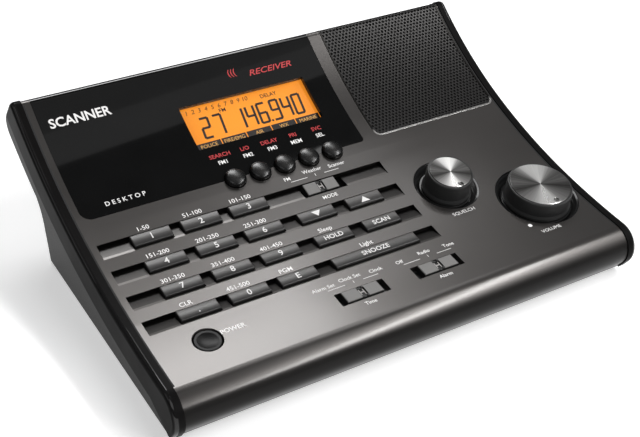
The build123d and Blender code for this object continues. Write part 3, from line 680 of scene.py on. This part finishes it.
class SCANNER_OT_case(bpy.types.Operator):
    """Finish the deck, cheeks, base and what is on them"""
    bl_idname = "scanner.case"
    bl_label = "Case"

    def execute(self, context):
        paint(["top_cover"], metallic_paint("deck_paint", tuple(colours().deck), 0.31, deck_shade))
        paint(["left_cheek", "right_cheek"], cheek_finish())
        paint(["base_shell", "battery_cover"], textured_plastic("base_grain", tuple(colours().base)))
        paint(["rubber_feet"], textured_plastic("foot_rubber", (0.018, 0.018, 0.018), 0.8, 900.0))
        paint(["screws"], bare_metal("black_screw", (0.12, 0.12, 0.125), 0.4))
        hidden = ["lcd_backlight", "speaker_frame", "speaker_magnet"]
        hidden += ["slide_switch_bodies", "tact_switches"]
        paint(hidden, textured_plastic("inner_black", (0.012, 0.012, 0.012), 0.6))
        paint(["speaker_cone"], textured_plastic("cone_paper", (0.02, 0.02, 0.02), 0.85, 500.0, 0.6))
        paint(["control_board", "main_board"], gloss_plastic("board_mask", (0.02, 0.11, 0.05), 0.25))
        tin = bare_metal("tin_plate", (0.6, 0.6, 0.58), 0.35)
        paint(["tuner_shield", "squelch_pot", "volume_pot"], tin)
        paint(["backup_battery"], metallic_paint("battery_wrap", (0.16, 0.17, 0.2), 0.3))
        paint(["squelch_shaft", "volume_shaft"], bare_metal("turned_steel", (0.5, 0.5, 0.5), 0.3))
        return {"FINISHED"}


class SCANNER_OT_seams(bpy.types.Operator):
    """Dark gap beside each cheek"""
    bl_idname = "scanner.seams"
    bl_label = "Seams"

    def execute(self, context):
        black = textured_plastic("seam_black", (0.004, 0.004, 0.004), 0.7)
        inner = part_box("top_cover")[1].x / MM
        for name, side in (("seam_left", -1), ("seam_right", 1)):
            middle = side * (inner - SEAM_WIDE / 2)
            strip = bar(middle - SEAM_WIDE / 2, middle + SEAM_WIDE / 2, SEAM_FRONT, SEAM_REAR, 0.06)
            cut_across(strip, SEAM_FRONT, SEAM_REAR, 60)
            strip.name = strip.data.name = name
            dress(wrap(strip), black)
        return {"FINISHED"}


def cut_across(piece, s0, s1, count):
    """Slice a flat piece into short lengths, so that it can follow the curve."""
    for i in range(1, count):
        make_active(piece)
        bpy.ops.object.mode_set(mode="EDIT")
        bpy.ops.mesh.select_all(action="SELECT")
        s = s0 + (s1 - s0) * i / count
        bpy.ops.mesh.bisect(plane_co=(0, s, 0), plane_no=(0, 1, 0))
        bpy.ops.object.mode_set(mode="OBJECT")
    return piece


class SCANNER_OT_grille(bpy.types.Operator):
    """Perforated metal grille with a rounded rim"""
    bl_idname = "scanner.grille"
    bl_label = "Grille"

    def execute(self, context):
        low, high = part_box("speaker_grille")
        x0, x1 = low.x / MM, high.x / MM
        s0, s1 = GRILLE_FRONT, GRILLE_REAR
        pitch, hole = sizes().hole_pitch / MM, sizes().hole_size / MM
        thick = sizes().grille_thick / MM
        sheet = wrap(perforated(x0, x1, s0, s1, pitch, hole, thick))
        sheet.name = sheet.data.name = "grille_sheet"
        dress(sheet, perforated_finish())
        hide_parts("speaker_grille")
        rim = grille_rim(x0, x1, s0, s1)
        dress(wrap(rim), rim_finish((x0 + x1) / 2, s0))
        cloth = grille_cloth(x0 + 0.8, x1 - 0.8, s0 + 0.8, s1 - 1.2, thick + 0.12)
        black = textured_plastic("black_cloth", (0.003, 0.003, 0.003), 0.9, 1400.0, 0.6)
        dress(wrap(cloth), black)
        return {"FINISHED"}


def grille_cloth(x0, x1, s0, s1, depth):
    """Thin dust cloth behind the grille."""
    cloth = bar(x0, x1, s0, s1, 0.06)
    cut_across(cloth, s0, s1, 24)
    cloth.name = cloth.data.name = "grille_cloth"
    return shift(cloth, 0, 0, -depth)


def rim_finish(x, s):
    """Rim with a painted highlight along its front and painted shade at its sides."""
    finish = Finish("rim_metal", (0.3, 0.29, 0.28), 0.32, 1.0)
    along = finish.parts(finish.about(deck_matrix(x, s)))[1]
    grain = finish.noise(900.0, 3.0)
    # Painted highlight along the front; the rest is painted dark.
    front = ((4.6 - along) * 0.5).least(1.0).most(0.0)
    finish.set("Base Color", finish.blend(front, (0.022, 0.021, 0.02), (0.42, 0.41, 0.4)))
    finish.set("Roughness", finish.span(grain, 0.24, 0.4))
    return finish.bump(grain, 0.08).material


def perforated_finish():
    """Dark satin coat of the perforated sheet."""
    finish = Finish("grille_black", (0.02, 0.019, 0.019), 0.34, 0.6)
    grain = finish.noise(3000.0, 2.0)
    finish.set("Base Color", finish.blend(grain, (0.013, 0.0125, 0.012), (0.04, 0.038, 0.037)))
    finish.set("Roughness", finish.span(grain, 0.28, 0.42))
    return finish.bump(grain, 0.1).material


def perforated(x0, x1, s0, s1, pitch, hole, thick):
    """Sheet of six-sided cells, each with a round hole, trimmed to its outline."""
    corner = pitch / math.sqrt(3)
    deselect()
    bpy.ops.mesh.primitive_circle_add(vertices=12, radius=corner, fill_type="NGON")
    cell = bpy.context.object
    for vertex in cell.data.vertices:
        out = Vector((vertex.co.x, vertex.co.y, 0)).normalized()
        turn = round(math.degrees(math.atan2(out.y, out.x)) / 30) % 12
        reach = pitch / 2 if turn % 2 == 0 else corner
        vertex.co = out * reach
    make_active(cell)
    bpy.ops.object.mode_set(mode="EDIT")
    bpy.ops.mesh.select_all(action="SELECT")
    bpy.ops.mesh.inset(thickness=(pitch - hole) / 2)
    bpy.ops.transform.tosphere(value=1.0)
    bpy.ops.mesh.delete(type="FACE")
    bpy.ops.object.mode_set(mode="OBJECT")
    row = pitch * math.sqrt(3) / 2
    other = cell.copy()
    other.data = cell.data.copy()
    bpy.context.collection.objects.link(other)
    shift(other, pitch / 2, row, 0)
    pair = join([cell, other], "cells")
    columns = int((x1 - x0) / pitch) + 2
    rows = int((s1 - s0) / (2 * row)) + 2
    for count, step in ((columns, (pitch, 0, 0)), (rows, (0, 2 * row, 0))):
        settings = {"count": count, "use_relative_offset": False, "use_constant_offset": True}
        add_modifier(pair, "ARRAY", constant_offset_displace=step, **settings)
    shift(pair, x0 - pitch / 3, s0 - row / 3, 0)
    make_active(pair)
    bpy.ops.object.mode_set(mode="EDIT")
    bpy.ops.mesh.select_all(action="SELECT")
    bpy.ops.mesh.remove_doubles(threshold=0.01)
    under_rim = 0.3
    cuts = (((x0 + under_rim, 0, 0), (-1, 0, 0)), ((x1 - under_rim, 0, 0), (1, 0, 0)))
    cuts += (((0, s0 + under_rim, 0), (0, -1, 0)), ((0, s1 - under_rim, 0), (0, 1, 0)))
    for place, normal in cuts:
        bpy.ops.mesh.select_all(action="SELECT")
        bpy.ops.mesh.bisect(plane_co=place, plane_no=normal, clear_outer=True)
    bpy.ops.object.mode_set(mode="OBJECT")
    add_modifier(pair, "SOLIDIFY", thickness=thick, offset=-1.0)
    return pair


def grille_rim(x0, x1, s0, s1, wide=0.9):
    """Rounded frame round the grille's edge."""
    deselect()
    bpy.ops.mesh.primitive_plane_add(size=1, location=((x0 + x1) / 2, (s0 + s1) / 2, 0))
    rim = bpy.context.object
    rim.scale = (x1 - x0, s1 - s0, 1)
    bake_place(rim)
    make_active(rim)
    bpy.ops.object.mode_set(mode="EDIT")
    bpy.ops.mesh.select_all(action="SELECT")
    bpy.ops.mesh.bevel(offset=3.5, segments=6, affect="VERTICES")
    bpy.ops.mesh.select_all(action="SELECT")
    bpy.ops.mesh.inset(thickness=wide)
    bpy.ops.mesh.delete(type="FACE")
    bpy.ops.object.mode_set(mode="OBJECT")
    cut_across(rim, s0, s1, 24)
    add_modifier(rim, "SOLIDIFY", thickness=0.7, offset=0.0)
    add_modifier(rim, "BEVEL", width=0.22, segments=2, limit_method="ANGLE")
    shift(rim, 0, 0, -0.2)
    rim.name = rim.data.name = "grille_rim"
    return rim


class SCANNER_OT_display(bpy.types.Operator):
    """Lens, backlit panel and what the display shows"""
    bl_idname = "scanner.display"
    bl_label = "Display"

    def execute(self, context):
        paint(["display_lens"], gloss_plastic("lens_black", (0.002, 0.002, 0.002), 0.05, 0.1, 0.4))
        paint(["lcd_window"], clear_pane())
        paint(["lcd_panel"], amber_panel())
        ink = print_ink("lcd_dark", (0.012, 0.006, 0.004))
        matrix = deck_matrix(WINDOW_X, WINDOW_S)
        surface = PANEL_LIFT + 0.03
        names = ("POLICE", "FIRE/EMG", "AIR", "WX", "MARINE")
        cell_wide, cell_gap, cell_low, cell_high = 13.0, 0.5, -11.4, -7.6
        middles = [-25.9 + cell_wide * i for i in range(len(names))]
        dark = large_digits() + small_marks()
        for middle in middles:
            half = (cell_wide - cell_gap) / 2
            dark.append(bar(middle - half, middle + half, cell_low, cell_high))
        shown = join(dark, "lcd_marks")
        stand(shift(shown, 0, 0, surface), matrix @ Matrix.Scale(MM, 4))
        dress(shown, ink)
        pale = print_ink("lcd_pale", (0.85, 0.45, 0.12), 0.25)
        level, lift = (cell_low + cell_high) / 2, surface + 0.04
        labels = [shift(words(name, 1.9), x, level, lift) for name, x in zip(names, middles)]
        cells = join(labels, "lcd_cell_names")
        stand(cells, matrix @ Matrix.Scale(MM, 4))
        dress(cells, pale)
        return {"FINISHED"}


SEGMENTS = {
    "0": "abcdef", "1": "bc", "2": "abged", "4": "bcfg", "6": "acdefg", "7": "abc", "9": "abcdfg",
}


def large_digits():
    """Channel and frequency, with its point."""
    height = sizes().digit_height / MM
    columns = (-23.3, -16.7, -5.8, 0.2, 6.2, 13.0, 19.0, 25.0)
    made = [shift(digit(mark, height), x, -0.3, 0) for mark, x in zip("27146940", columns)]
    return made + [shift(bar(-0.5, 0.5, -0.5, 0.5), 9.2, -5.4, 0)]


def small_marks():
    """Row of bank numbers and the two small words."""
    made = [
        shift(words(str(i + 1), 2.3, slant=0.2), -29.4 + 3.35 * i, 9.2, 0)
        for i in range(10)
    ]
    made.append(shift(words("FM", 2.1, bold=0.03), -12.0, 6.4, 0))
    made.append(shift(words("DELAY", 2.1, bold=0.03), 13.0, 8.2, 0))
    return made


def digit(mark, height):
    """Slanted seven-segment numeral, centred, in millimetres."""
    wide, half, thick, gap = height * 0.37, height / 2, 1.2, 0.08
    middle = wide / 2
    places = {
        "a": (0, half, True), "g": (0, 0, True), "d": (0, -half, True),
        "f": (-middle, half / 2, False), "b": (middle, half / 2, False),
        "e": (-middle, -half / 2, False), "c": (middle, -half / 2, False),
    }
    made = []
    for name in SEGMENTS[mark]:
        x, y, level = places[name]
        long = (wide if level else half) / 2 - gap
        box = (-long, long, -thick / 2, thick / 2) if level else (-thick / 2, thick / 2, -long, long)
        piece = bar(*box)
        point_ends(piece, level, thick)
        made.append(shift(piece, x, y, 0))
    whole = join(made, "digit_" + mark)
    slant = Matrix(((1, 0.1, 0, 0), (0, 1, 0, 0), (0, 0, 1, 0), (0, 0, 0, 1)))
    whole.data.transform(slant)
    return whole


def point_ends(piece, level, thick):
    """Mitre a segment's ends to 45 degrees."""
    axis, other = (0, 1) if level else (1, 0)
    for vertex in piece.data.vertices:
        pull = abs(vertex.co[other]) * 0.8 - thick / 2
        vertex.co[axis] -= math.copysign(1.0, vertex.co[axis]) * pull


class SCANNER_OT_keys(bpy.types.Operator):
    """Keys, round buttons and their printed marks"""
    bl_idname = "scanner.keys"
    bl_label = "Keys"

    def execute(self, context):
        places = key_places()
        rows = {}
        satin = tuple(colours().keys)
        # One copy per row, so that each row's painted light lies along its own slope.
        for s in sorted({s for _, s in places.values()}):
            rows[s] = crowned_key("key_satin_%d" % (len(rows) + 1), satin, s)
        # The key marks' white print is given painted light, a faint glow.
        white = print_ink("print_white", tuple(colours().print_white), 0.12)
        keys = [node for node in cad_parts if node.startswith("key_")]
        buttons = [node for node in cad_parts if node.startswith("function_button_")]
        for i, node in enumerate(sorted(buttons)):
            x = FUNCTION_X + i * FUNCTION_PITCH
            paint([node], domed_button("button_dark_%d" % (i + 1), x))
        paint(["power_button"], gloss_plastic("power_gloss", (0.003, 0.003, 0.003), 0.3, 0.0, 0.12))
        marks = {"point": ".", "enter": "E", "hold": "HOLD", "scan": "SCAN", "snooze": "SNOOZE"}
        for node in keys:
            name = node.removeprefix("key_")
            paint([node], rows[places[name][1]])
            if name in ("up", "down"):
                mark = triangle(1 if name == "up" else -1)
            else:
                size = 2.5 if len(marks.get(name, name)) > 1 else 3.1
                mark = words(marks.get(name, name), size, bold=0.05)
            key_mark(mark, node, places[name], white)
        return {"FINISHED"}


def triangle(way):
    """Arrow mark that points up (1) or down (-1)."""
    deselect()
    bpy.ops.mesh.primitive_cone_add(vertices=3, radius1=2.1, radius2=2.0, depth=0.04)
    piece = bpy.context.object
    bake_place(piece)
    low = min(v.co.y for v in piece.data.vertices)
    piece.data.transform(Matrix.Translation((0, -low - 1.6, 0)))
    piece.data.transform(Matrix.Diagonal((1.25, way, 1, 1)))
    if way < 0:
        piece.data.flip_normals()
    return piece


def key_mark(mark, node, place, white):
    """Print a mark on a key, so that it moves with it."""
    lift = (KEY_LIFT + 0.02) * MM + sizes().legend_lift
    stand(mark, deck_matrix(*place) @ Matrix.Translation((0, 0, lift)) @ Matrix.Scale(MM, 4))
    mark.name = mark.data.name = "mark_" + node
    dress(mark, white, node + "_body")


class SCANNER_OT_knobs(bpy.types.Operator):
    """Knobs, their metal discs and wells"""
    bl_idname = "scanner.knobs"
    bl_label = "Knobs"

    def execute(self, context):
        grip = textured_plastic("knob_rubber", (0.016, 0.016, 0.016), 0.5, 2200.0, 0.25)
        paint(["squelch_knob", "volume_knob"], grip)
        paint(["squelch_well", "volume_well"], gloss_plastic("well_gloss", (0.006, 0.006, 0.006), 0.1))
        for name in ("squelch", "volume"):
            x, s, top = KNOBS[name]
            paint([name + "_knob_disc"], spun_metal(name + "_spun", deck_matrix(x, s, top)))
        return {"FINISHED"}


class SCANNER_OT_switches(bpy.types.Operator):
    """Slide switches"""
    bl_idname = "scanner.switches"
    bl_label = "Slide switches"

    def execute(self, context):
        pale = textured_plastic("slider_mark", (0.3, 0.29, 0.28), 0.5)
        for name, (_, s) in SLIDERS.items():
            low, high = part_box(name + "_slider")
            middle = (low.x + high.x) / 2 / MM
            paint([name + "_slider"], slider_finish(name, deck_matrix(middle, s)))
            strokes = [bar(-1.15, -0.75, -1.9, 1.9), bar(0.75, 1.15, -1.9, 1.9)]
            strokes.append(bar(-0.8, 0.8, -0.35, 0.35))
            mark = shift(join(strokes, name + "_notch_mark"), 0, 0, 0.32)
            stand(mark, deck_matrix(middle, s) @ Matrix.Scale(MM, 4))
            dress(mark, pale, name + "_slider_body")
        return {"FINISHED"}


class SCANNER_OT_legends(bpy.types.Operator):
    """Legends printed on the deck and the lens"""
    bl_idname = "scanner.legends"
    bl_label = "Legends"

    def execute(self, context):
        # The legends' white and red print are given painted light, a faint glow.
        white = print_ink("legend_white", tuple(colours().print_white), 0.3)
        red = print_ink("legend_red", tuple(colours().print_red), 0.1)
        lift = sizes().legend_lift / MM
        made = key_legends(lift) + knob_legends(lift) + slider_legends(lift)
        dress(wrap(join(made, "deck_legends")), white)
        red_words, white_words = lens_legends(lift)
        dress(wrap(join(white_words, "lens_legends_white")), white)
        dress(wrap(join(red_words, "lens_legends_red")), red)
        return {"FINISHED"}


def key_legends(lift):
    """Bank spans and second functions behind the keys."""
    places, made = key_places(), []
    spans = ("1-50", "51-100", "101-150", "151-200", "201-250", "251-300")
    spans += ("301-350", "351-400", "401-450")
    for i, span in enumerate(spans):
        x, s = places[str(i + 1)]
        made.append(shift(words(span, 2.25, bold=0.02, wide=1.06), x - 1.6, s + LEGEND_RISE, lift))
    others = {
        "point": ("CLR", -2.9), "0": ("451-500", -2.2), "enter": ("PGM", -2.7),
        "hold": ("Sleep", -1.0), "snooze": ("Light", -1.2),
    }
    for name, (text, offset) in others.items():
        x, s = places[name]
        made.append(shift(words(text, 2.35, bold=0.02), x + offset, s + LEGEND_RISE, lift))
    return made


def knob_legends(lift):
    """Names of the knobs and the power button, and the volume knob's dot."""
    made = [shift(words("POWER", 2.3, bold=0.06), -76.2, 22.4, lift)]
    for text, x, s in (("VOLUME", 82.4, 15.6), ("SQUELCH", 52.6, 42.2)):
        made.append(shift(words(text, 1.95, wide=1.04), x, s, lift))
    return made + [shift(round_dot(1.0), 74.8, 21.6, lift)]


def lens_legends(lift):
    """Red and white lettering on the lens."""
    red, white = [], []
    names = (("SEARCH", "FM1"), ("L/O", "FM2"), ("DELAY", "FM3"), ("PRI", "MEM"), ("SVC", "SEL"))
    for i, (upper, lower) in enumerate(names):
        x = FUNCTION_X + i * FUNCTION_PITCH - 0.8
        red.append(shift(words(upper, 2.1, bold=0.04), x, 111.9, lift))
        white.append(shift(words(lower, 2.1, bold=0.04), x, 108.0, lift))
    white.append(shift(words("SCANNER", 4.6, bold=0.12), -89.0, 148.0, lift))
    white.append(shift(words("D E S K T O P", 2.3, bold=0.03), -86.0, 103.6, lift))
    red.append(shift(words("RECEIVER", 3.0, bold=0.05, slant=0.35, wide=1.3), 7.0, 149.0, lift))
    red.append(shift(words("(((", 3.2, bold=0.05), -12.5, 151.5, lift))
    return red, white


def round_dot(radius):
    """Flat printed dot."""
    deselect()
    bpy.ops.mesh.primitive_cylinder_add(vertices=32, radius=radius, depth=0.04)
    dot = bpy.context.object
    select_faces(dot, lambda centre, normal: normal.z > 0.9)
    bpy.ops.mesh.inset(thickness=radius * 0.12, depth=0.01)
    bpy.ops.object.mode_set(mode="OBJECT")
    return bake_place(dot)


def slider_legends(lift):
    """Names, positions and thin brackets round each slide switch."""
    marks = {
        "mode": ("FM", "Weather", "Scanner", "MODE"),
        "time": ("Alarm Set", "Clock Set", "Clock", "Time"),
        "alarm": ("Off", "Radio", "Tone", "Alarm"),
    }
    made = []
    for name, (left, centre, right, title) in marks.items():
        x, s = SLIDERS[name]
        made.append(shift(words(title, 1.95, bold=0.02), x, s - 6.5, lift))
        for text, offset, rise in ((left, -13.8, 9.0), (centre, -0.4, 10.0), (right, 12.4, 9.4)):
            made.append(shift(words(text, 1.95, bold=0.015), x + offset, s + rise, lift))
        made.append(shift(bar(-4.2, 4.2, -0.12, 0.12), x - 8.6, s + 6.9, lift))
        made.append(shift(bar(-0.12, 0.12, -0.7, 0.7), x, s + 7.2, lift))
        made.append(shift(bar(-3.8, 3.8, -0.12, 0.12), x + 8.4, s + 6.9, lift))
    return made


class SCANNER_OT_rear(bpy.types.Operator):
    """Connectors on the rear wall"""
    bl_idname = "scanner.rear"
    bl_label = "Connectors"

    def execute(self, context):
        paint(["antenna_jack"], bare_metal("nickel", (0.72, 0.7, 0.66), 0.22))
        paint(["power_jack", "earphone_jack"], textured_plastic("jack_black", (0.02, 0.02, 0.02), 0.5))
        return {"FINISHED"}


class SCANNER_OT_stage(bpy.types.Operator):
    """Pale floor, soft studio light and camera"""
    bl_idname = "scanner.stage"
    bl_label = "Stage"

    def execute(self, context):
        deselect()
        bpy.ops.mesh.primitive_plane_add(size=12, location=(0, 0, 0))
        floor = context.object
        floor.name = floor.data.name = "floor"
        floor.data.materials.append(floor_finish())
        world = bpy.data.worlds.new("studio")
        context.scene.world = world
        world.use_nodes = True
        background = world.node_tree.nodes["Background"]
        background.inputs["Color"].default_value = (0.95, 0.97, 1.0, 1)
        background.inputs["Strength"].default_value = 0.085
        middle = (0.0, 0.0, 0.03)
        soft_light("rear_box", (0.26, 0.82, 0.95), middle, (0.62, 0.34), 7.2)
        soft_light("left_fill", (-1.25, 0.35, 1.0), middle, (0.8, 0.8), 0.7)
        soft_light("beside_camera", (-0.85, -0.75, 1.25), middle, (1.1, 1.1), 5.0)
        soft_light("disc_box", (0.51, 0.45, 0.93), (0.07, -0.02, 0.04), (0.3, 0.3), 0.75)
        soft_light("nose_strip", (0.62, -0.66, 0.9), middle, (1.3, 0.08), 13.0, 33.7)
        overhead = (("top_narrow", 0.11, 0.15), ("top_middle", 0.2, 0.16), ("top_wide", 0.34, 0.18))
        for name, deep, power in overhead:
            # Their rear edges lie on one line.
            place = (0.4 - 0.095 * deep, 0.022 - 0.491 * deep, 1.0)
            soft_light(name, place, (place[0], place[1], 0.0), (1.2, deep), power, -11.0)
        context.scene.view_settings.view_transform = "Standard"
        add_camera()
        return {"FINISHED"}


def floor_finish():
    """Plain pale floor with a little light of its own."""
    finish = Finish("pale_floor", (0.86, 0.86, 0.86), 0.7, emission_strength=0.42)
    finish.set("Emission Color", (1.0, 1.0, 1.0, 1))
    cloud = finish.noise(3.0, 3.0)
    finish.set("Base Color", finish.blend(cloud, (0.84, 0.84, 0.84), (0.88, 0.88, 0.88)))
    return finish.material


def soft_light(name, place, target, size, power, spin=0.0):
    """Rectangular light that faces a target, turned about the line to it in degrees."""
    deselect()
    bpy.ops.object.light_add(type="AREA", location=place)
    light = bpy.context.object
    light.name = name
    facing = (Vector(place) - Vector(target)).to_track_quat("Z", "Y").to_matrix()
    light.rotation_euler = (facing @ Matrix.Rotation(math.radians(spin), 3, "Z")).to_euler()
    light.data.shape = "RECTANGLE"
    light.data.size, light.data.size_y = size
    light.data.energy = power
    return light


def add_camera():
    """Camera above the front left."""
    azimuth, elevation, roll = 33.73, 36.4, 4.0
    bpy.ops.object.camera_add(location=(-0.25241, -0.376885, 0.34955))
    camera = bpy.context.object
    look = Matrix.Rotation(math.radians(-azimuth), 4, "Z")
    look = look @ Matrix.Rotation(math.radians(90 - elevation), 4, "X")
    look = look @ Matrix.Rotation(math.radians(roll), 4, "Z")
    camera.rotation_euler = look.to_euler()
    camera.data.lens = 69.12
    camera.data.sensor_width = 36.0
    camera.data.clip_start, camera.data.clip_end = 0.01, 30.0
    bpy.context.scene.camera = camera


OPERATORS = (
    SCANNER_OT_case, SCANNER_OT_seams, SCANNER_OT_grille, SCANNER_OT_display, SCANNER_OT_keys,
    SCANNER_OT_knobs, SCANNER_OT_switches, SCANNER_OT_legends, SCANNER_OT_rear, SCANNER_OT_stage,
)


class SCANNER_PT_panel(bpy.types.Panel):
    """Lists the scanner's sizes, colours and steps"""
    bl_label = "Scanner"
    bl_idname = "SCANNER_PT_panel"
    bl_space_type = "VIEW_3D"
    bl_region_type = "UI"
    bl_category = "Scanner"

    def draw(self, context):
        layout = self.layout
        for group in (context.scene.scanner_sizes, context.scene.scanner_colours):
            for name in group.__annotations__:
                layout.prop(group, name)
        for operator in OPERATORS:
            layout.operator(operator.bl_idname)


def register():
    for made in (ScannerSizes, ScannerColours, *OPERATORS, SCANNER_PT_panel):
        bpy.utils.register_class(made)
    bpy.types.Scene.scanner_sizes = PointerProperty(type=ScannerSizes)
    bpy.types.Scene.scanner_colours = PointerProperty(type=ScannerColours)


def unregister():
    del bpy.types.Scene.scanner_colours
    del bpy.types.Scene.scanner_sizes
    for made in (SCANNER_PT_panel, *reversed(OPERATORS), ScannerColours, ScannerSizes):
        bpy.utils.unregister_class(made)


def main():
    register()
    bpy.ops.scanner.case()
    bpy.ops.scanner.seams()
    bpy.ops.scanner.grille()
    bpy.ops.scanner.display()
    bpy.ops.scanner.keys()
    bpy.ops.scanner.knobs()
    bpy.ops.scanner.switches()
    bpy.ops.scanner.legends()
    bpy.ops.scanner.rear()
    bpy.ops.scanner.stage()


if __name__ == "__main__":
    main()
